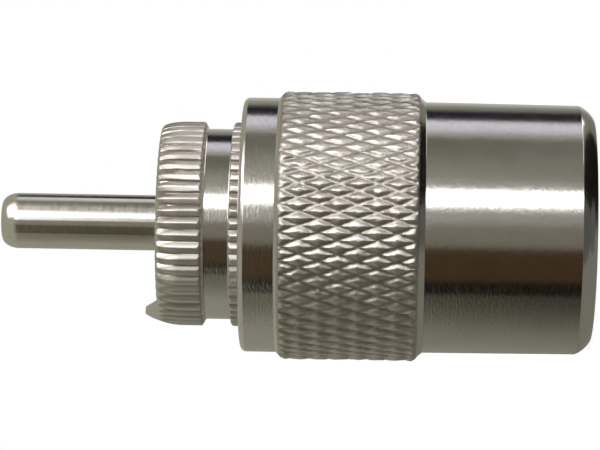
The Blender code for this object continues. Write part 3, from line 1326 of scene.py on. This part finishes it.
@dataclass(frozen=True)
class CentreContact:
    """The hollow pin with its rounded tip, its collar and its solder cup.

    Attributes:
        radius: Radius of the pin.
        bore: Radius of its bore.
        tip: Height of its tip.
        tip_rim: Radius of the flat rim at the tip.
        tip_round: Length of the tip's rounding.
        collar: Radius of the collar.
        collar_rear: Height of the collar's rear face.
        collar_front: Height of the collar's front face.
        tail: Height of the rear end of the solder cup.
    """

    radius: float = 1.98
    bore: float = 1.0
    tip: float = 42.0
    tip_rim: float = 1.2
    tip_round: float = 1.2
    collar: float = 2.6
    collar_rear: float = 24.9
    collar_front: float = 26.2
    tail: float = 22.3

    def build(self, finish: TurnedNickel) -> Object:
        """Make the pin.

        Args:
            finish: Its finish.

        Returns:
            The piece.
        """
        lathe = Lathe()
        corner = self.tip - self.tip_round
        lathe.chain(SIDES, rounded([
            Corner(self.bore, self.tail),
            Corner(self.radius, self.tail, 0.12),
            Corner(self.radius, self.collar_rear, FINE_EDGE),
            Corner(self.collar, self.collar_rear, EDGE),
            Corner(self.collar, self.collar_front, EDGE),
            Corner(self.radius, self.collar_front, FINE_EDGE),
            Corner(self.radius, corner - 0.2),
        ])[1:])
        lathe.chain(SIDES, quarter(self.radius, corner, self.radius - self.tip_rim, self.tip_round, 14))
        lathe.chain(SIDES, rounded([
            Corner(self.tip_rim - 0.02, self.tip),
            Corner(self.bore, self.tip, 0.12, 4),
            Corner(self.bore, self.collar_rear),
            Corner(self.bore, self.tail, 0.12, 4),
            Corner(self.bore + 0.2, self.tail),
        ]))
        mesh = lathe.mesh("hollow_pin")
        mesh.materials.append(finish.material())
        return add_piece("hollow_pin", mesh, Body.PLUG, Slot.PIN, "center_contact")


@dataclass(frozen=True)
class RetainingRing:
    """The split spring ring, whose CAD solid is kept as it is.

    Attributes:
        node: Name of the CAD node.
    """

    node: str = "retaining_ring"

    def dress(self, frame: dict, finish: TurnedNickel) -> None:
        """Give the ring its finish.

        Args:
            finish: The ring's finish.
        """
        solid = frame["nodes"][self.node]
        solid.material_slots[0].material = finish.material()
        LOG.info("%s: CAD solid kept, dressed as %s", self.node, finish.name)


@dataclass(frozen=True)
class Card:
    """A card, a wall or a lamp of the light tent.

    Attributes:
        colour: Its light, where 1 is white.
        start: Azimuth of its first edge in degrees, from the camera's side towards +X.
        end: Azimuth of its last edge.
        fade_in: Width of the soft part before its first edge.
        fade_out: Width of the soft part after its last edge.
        low: Elevation of its lower edge, in degrees.
        high: Elevation of its upper edge.
        soft: Height of the soft part below and above it.
    """

    colour: Colour
    start: float
    end: float
    fade_in: float = 3.0
    fade_out: float = 3.0
    low: float = -12.0
    high: float = 8.0
    soft: float = 7.0


@dataclass(frozen=True)
class LightTent:
    """The tent around the plug, which only the metal's reflections see.

    Attributes:
        radius: Its radius, in metres.
        middle: Height of its middle, in metres.
        wall: Light of its bare wall.
        climb: How much lighter a wall is for each degree up.
        darkest: How dark that makes it, as a share of the wall.
        lightest: How light that makes it, as a share of the wall.
        pole: Radius of the rings at its poles, in millimetres.
        steps: Straight pieces from pole to pole.
        cards: What hangs in it, with later ones in front.
    """

    radius: float = 0.6
    middle: float = 0.0142
    wall: Colour = (0.27, 0.265, 0.215)
    climb: float = 0.025
    darkest: float = 0.75
    lightest: float = 1.35
    pole: float = 0.1
    steps: int = 96
    cards: tuple[Card, ...] = (
        Card((0.16, 0.155, 0.115), -66.0, -60.0, 45.0, 2.0),
        Card((0.01, 0.009, 0.004), -35.0, -35.0, 120.0, 3.0, -20.0, -2.0, 4.0),
        Card((0.08, 0.07, 0.04), -52.0, -20.0, 6.0, 12.0, -20.0, 12.0, 8.0),
        Card((0.003, 0.002, 0.001), -62.0, -48.0, 2.0, 5.0, -20.0, 4.0, 4.0),
        Card((0.052, 0.028, 0.012), -46.0, -20.0, 7.0, 8.0, -20.0, 3.5, 5.0),
        Card((0.2, 0.178, 0.147), -12.0, 0.0, 10.0, 8.0),
        Card((0.3, 0.295, 0.265), 8.0, 40.0, 8.0, 8.0),
        Card((0.14, 0.143, 0.113), 80.0, 88.0, 38.0, 3.0),
        Card((0.75, 0.73, 0.82), 106.0, 112.0, 17.0, 7.0),
        Card((0.012, 0.011, 0.018), 119.0, 130.0, 5.0, 14.0),
        Card((0.5, 0.5, 0.47), 162.0, 180.0, 18.0, 3.0),
        Card((1.4, 1.27, 1.26), 20.0, 76.0, 14.0, 12.0, 18.0, 50.0, 5.0),
        Card((2.7, 2.52, 2.46), 28.0, 60.0, 12.0, 12.0, 16.0, 50.0, 4.0),
        Card((3.0, 2.9, 2.8), 8.0, 40.0, 8.0, 8.0, 11.5, 16.0, 3.0),
        Card((3.0, 2.78, 2.73), 70.0, 128.0, 12.0, 8.0, -25.0, -18.0, 3.0),
        Card((4.6, 4.6, 4.6), 28.5, 28.5, 14.0, 9.0, -9.0, 11.0, 5.0),
        Card((0.1, 0.1, 0.088), -38.0, 180.0, 8.0, 5.0, -90.0, -40.0, 5.0),
        Card((0.008, 0.007, 0.005), 44.0, 165.0, 10.0, 10.0, -74.0, -38.0, 4.0),
        Card((0.11, 0.108, 0.1), -180.0, 180.0, 1.0, 1.0, -90.0, -80.0, 4.0),
    )

    def material(self) -> Material:
        """Make the tent's light.

        Returns:
            A material that gives it.
        """
        surface = Surface("tent_light", self.wall)
        degrees = 180.0 / math.pi
        azimuth = surface.x.math("ARCTAN2", -surface.y) * degrees
        elevation = ((surface.z - self.middle) / self.radius).math("ARCSINE") * degrees
        climb = (elevation * self.climb + 1.0).at_least(self.darkest).at_most(self.lightest)
        light = surface.grown(self.wall, climb)
        for card in self.cards:
            opening = azimuth.step(card.start - card.fade_in, card.start)
            closing = azimuth.step(card.end + card.fade_out, card.end)
            rising = elevation.step(card.low - card.soft, card.low)
            falling = elevation.step(card.high + card.soft, card.high)
            light = surface.colours(opening * closing * rising * falling, light, card.colour)
        surface.material.cycles.emission_sampling = "NONE"
        return surface.close(surface.glow(light))

    def build(self) -> None:
        """Make the tent's dome, which stays out of the camera's own view."""
        lathe = Lathe()
        for step in range(self.steps + 1):
            angle = math.pi * step / self.steps
            radius = max(self.pole, self.radius * math.sin(angle) / MM)
            height = (self.middle - self.radius * math.cos(angle)) / MM
            lathe.ring(self.steps * 2, radius, height)
        mesh = lathe.mesh("tent", closed=False)
        mesh.materials.append(self.material())
        mesh.shade_smooth()
        tent = show("tent", mesh)
        for ray in ("camera", "diffuse", "transmission", "volume_scatter", "shadow"):
            setattr(tent, f"visible_{ray}", False)


@dataclass(frozen=True)
class Studio:
    """The floor, the backdrop, the lamp and the camera.

    Attributes:
        backdrop: Brightness of the backdrop, where 1 is white.
        ambient: Brightness of the light that the room gives.
        lamp_power: Power of the lamp overhead, in watts.
        lamp_size: Width of that lamp, in metres.
        lamp_height: Its height, in metres.
        floor_size: Half the width of the floor, in metres.
        floor_glow: Share of the floor's own white, which keeps it pale.
        floor_light: Brightness of that white.
        distance: Distance of the camera from the plug's axis.
        height: Height of the camera.
        aim: Height on the axis that it looks at.
        lift: How far it stands towards the picture's top.
        tilt: How far the picture's right side dips, in degrees.
        lens: Focal length.
        film: Width of the camera's film.
        nearest: Distance in metres in front of which the camera sees nothing.
    """

    backdrop: float = 1.0
    ambient: float = 0.8
    lamp_power: float = 1.2
    lamp_size: float = 0.3
    lamp_height: float = 0.5
    floor_size: float = 4.0
    floor_glow: float = 0.8
    floor_light: float = 1.12
    distance: float = 218.0
    height: float = 14.24
    aim: float = 20.73
    lift: float = 0.025
    tilt: float = 1.0
    lens: float = 183.2
    film: float = 36.0
    nearest: float = 0.01

    def world(self) -> None:
        """Make a world that shows as a white backdrop and lights the plug evenly."""
        world = bpy.data.worlds.new("white_room")
        world.use_nodes = True
        bpy.context.scene.world = world
        graph = Graph(world.node_tree)
        graph.tree.nodes.clear()
        strength = graph.seen() * (self.backdrop - self.ambient) + self.ambient
        light = graph.node("ShaderNodeBackground", inputs={"Color": WHITE, "Strength": strength})
        graph.node("ShaderNodeOutputWorld", inputs={"Surface": light})

    def floor(self) -> None:
        """Make the pale floor, which the metal sees the tent in place of."""
        surface = Surface("pale_floor", (0.9, 0.9, 0.9))
        matte = surface.node("ShaderNodeBsdfDiffuse", inputs={"Color": (0.85, 0.85, 0.85, 1.0)})
        glow = surface.glow(WHITE, self.floor_light)
        share = surface.seen() * self.floor_glow
        whole = surface.node("ShaderNodeMixShader", inputs={0: share, 1: matte, 2: glow})
        size = self.floor_size
        corners = [(-size, -size, 0.0), (size, -size, 0.0), (size, size, 0.0), (-size, size, 0.0)]
        mesh = bpy.data.meshes.new("floor")
        mesh.from_pydata(corners, [], [(0, 1, 2, 3)])
        mesh.materials.append(surface.close(whole))
        floor = show("floor", mesh)
        floor.visible_glossy = False

    def lamp(self) -> None:
        """Hang a broad soft lamp over the plug."""
        light = bpy.data.lights.new("overhead_lamp", "AREA")
        light.energy = self.lamp_power
        light.size = self.lamp_size
        lamp = show("overhead_lamp", light)
        lamp.location = (0.0, 0.0, self.lamp_height)
        lamp.visible_glossy = False
        lamp.visible_camera = False

    def camera(self) -> None:
        """Set the camera square to the axis, with the pin to the left of the picture."""
        place = Vector((self.lift, -self.distance, self.height)) * MM
        target = Vector((self.lift, 0.0, self.aim)) * MM
        back = (place - target).normalized()
        tilt = math.radians(self.tilt)
        right = Vector((math.sin(tilt), 0.0, -math.cos(tilt)))
        right = (right - back * right.dot(back)).normalized()
        data = bpy.data.cameras.new("camera")
        data.lens = self.lens
        data.sensor_width = self.film
        data.clip_start = self.nearest
        camera = show("camera", data)
        camera.matrix_world = Matrix((right, back.cross(right), back)).transposed().to_4x4()
        camera.location = place
        bpy.context.scene.camera = camera

    def build(self) -> None:
        """Make the whole studio."""
        for make in (self.world, self.floor, self.lamp, self.camera):
            make()
        bpy.context.scene.view_settings.view_transform = "Standard"


def main() -> None:
    """Build the plug and its studio."""
    logging.basicConfig(level=logging.INFO, format="%(name)s: %(message)s")
    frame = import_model()
    nickel = (0.76, 0.745, 0.72)
    shade = (0.5, 0.47, 0.42)
    # The nut's knurl and the body's teeth get painted shade in their grooves.
    CouplingNut().build(TurnedNickel(
        "nut_plate", nickel, shade, smooth=0.14, rough=0.2, ring_width=0.14, ring_depth=0.017,
        streak=0.35, brushed=0.5, grooves=(9.52, 9.37, 9.2), pressed=0.4))
    PlugBody().build(TurnedNickel(
        "body_plate", nickel, shade, smooth=0.14, rough=0.18, ring_width=0.14, ring_depth=0.014,
        streak=0.35, brushed=0.5, grooves=(7.24, 7.08, 6.9), pressed=0.42))
    CentreContact().build(TurnedNickel(
        "pin_plate", (0.8, 0.785, 0.75), (0.62, 0.6, 0.55), smooth=0.13, rough=0.2,
        ring_width=0.2, ring_depth=0.002))
    Insulator().build(MouldedPlastic(
        "insulator_skin", (0.86, 0.85, 0.81), (0.82, 0.8, 0.75), roughness=0.42))
    RetainingRing().dress(frame, TurnedNickel(
        "spring_wire", (0.56, 0.57, 0.58), (0.4, 0.4, 0.41), smooth=0.24, rough=0.4,
        ring_width=0.08, ring_depth=0.003))
    LightTent().build()
    Studio().build()


if __name__ == "__main__":
    main()
